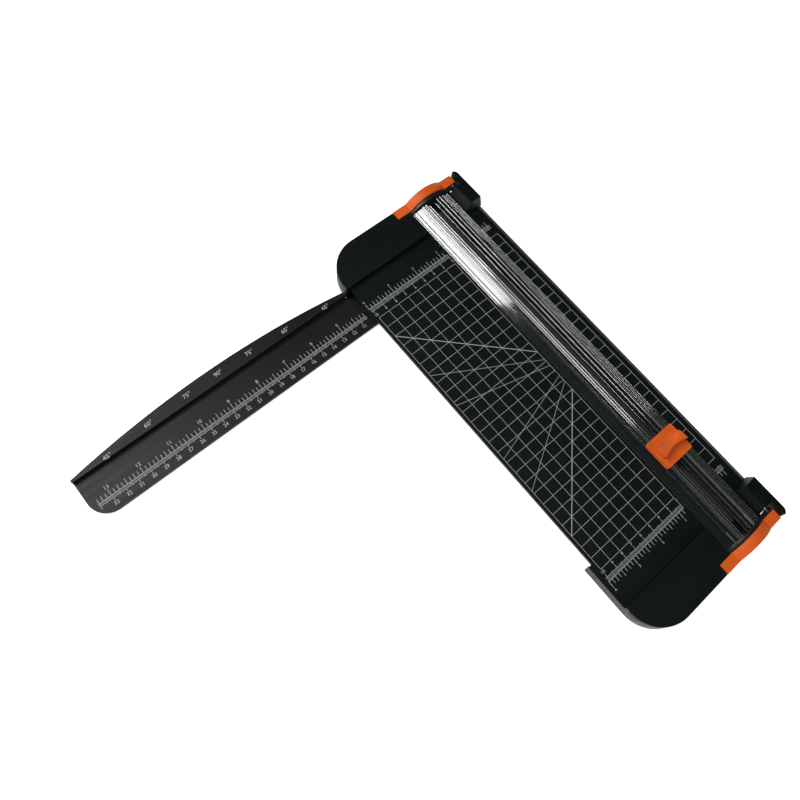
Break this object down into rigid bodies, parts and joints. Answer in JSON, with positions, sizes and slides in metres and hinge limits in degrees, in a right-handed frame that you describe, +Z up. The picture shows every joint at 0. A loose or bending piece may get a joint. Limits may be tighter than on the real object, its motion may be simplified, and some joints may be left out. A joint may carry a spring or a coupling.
{
  "type": "rotary paper trimmer",
  "caption": "Desktop rotary paper trimmer with a flip-up clear rail, a sprung blade carriage, raised end stops and a ruler arm that swings out from under the deck.",
  "frame": {"origin": "on the table, directly under the cut line and midway between the two ends of the base; the middle rubber foot stands on it", "axes": "+X runs along the cut from the ruler arm's end to the other end; +Y points across the cut to the side where the rail is hinged; +Z is up. The ruler arm points along -Y at rest."},
  "size_m": [0.379, 0.382, 0.0367],
  "materials": {
    "black_abs": "fine satin texture",
    "arm_abs": "fine satin texture",
    "clear_acrylic": "polished clear extrusion",
    "orange_abs": "semi-matt",
    "black_nylon": "smooth",
    "steel": "bright",
    "blade_steel": "polished",
    "brass": "bright",
    "rubber": "matt",
    "strip": "soft, matt"
  },
  "bodies": {
    "base": {"base_body": "black_abs", "cap_far": "black_abs", "cap_near": "black_abs", "cutting_strip": "strip", "rubber_feet": "rubber", "base_screws": "steel", "hinge_pin_far": "steel", "hinge_pin_near": "steel", "arm_pivot_screw": "steel"},
    "arm": {"ruler_arm": "arm_abs", "arm_glide": "rubber", "arm_washer": "steel"},
    "rail": {"clear_rail": "clear_acrylic", "rail_bracket_far": "black_nylon", "rail_bracket_near": "black_nylon", "rail_end_far": "orange_abs", "rail_end_near": "orange_abs", "rail_screws": "steel"},
    "slider": {"slider_frame": "black_nylon", "press_springs": "steel"},
    "press": {"carriage_cap": "orange_abs", "blade_holder": "black_nylon", "blade_axle": "steel", "blade_spacers": "brass"},
    "blade": {"round_blade": "blade_steel"}
  },
  "joints": [
    {"name": "arm_swing", "type": "hinge", "parent": "base", "child": "arm", "pos_m": [-0.1405, -0.086, 0.005], "axis": [0, 0, 1], "range_deg": [0, 90]},
    {"name": "rail_lift", "type": "hinge", "parent": "base", "child": "rail", "pos_m": [0, 0.0276, 0.0165], "axis": [-1, 0, 0], "range_deg": [0, 90]},
    {"name": "carriage_slide", "type": "slide", "parent": "rail", "child": "slider", "axis": [1, 0, 0], "range_m": [-0.261, 0.067]},
    {"name": "carriage_press", "type": "slide", "parent": "slider", "child": "press", "axis": [0, 0, -1], "range_m": [0, 0.0017], "stiffness_N_per_m": 900, "springref_m": -0.002, "deforming": ["press_springs"]},
    {"name": "blade_spin", "type": "hinge", "parent": "press", "child": "blade", "pos_m": [0.0985, 0, 0.0222], "axis": [0, 1, 0], "continuous": true}
  ]
}
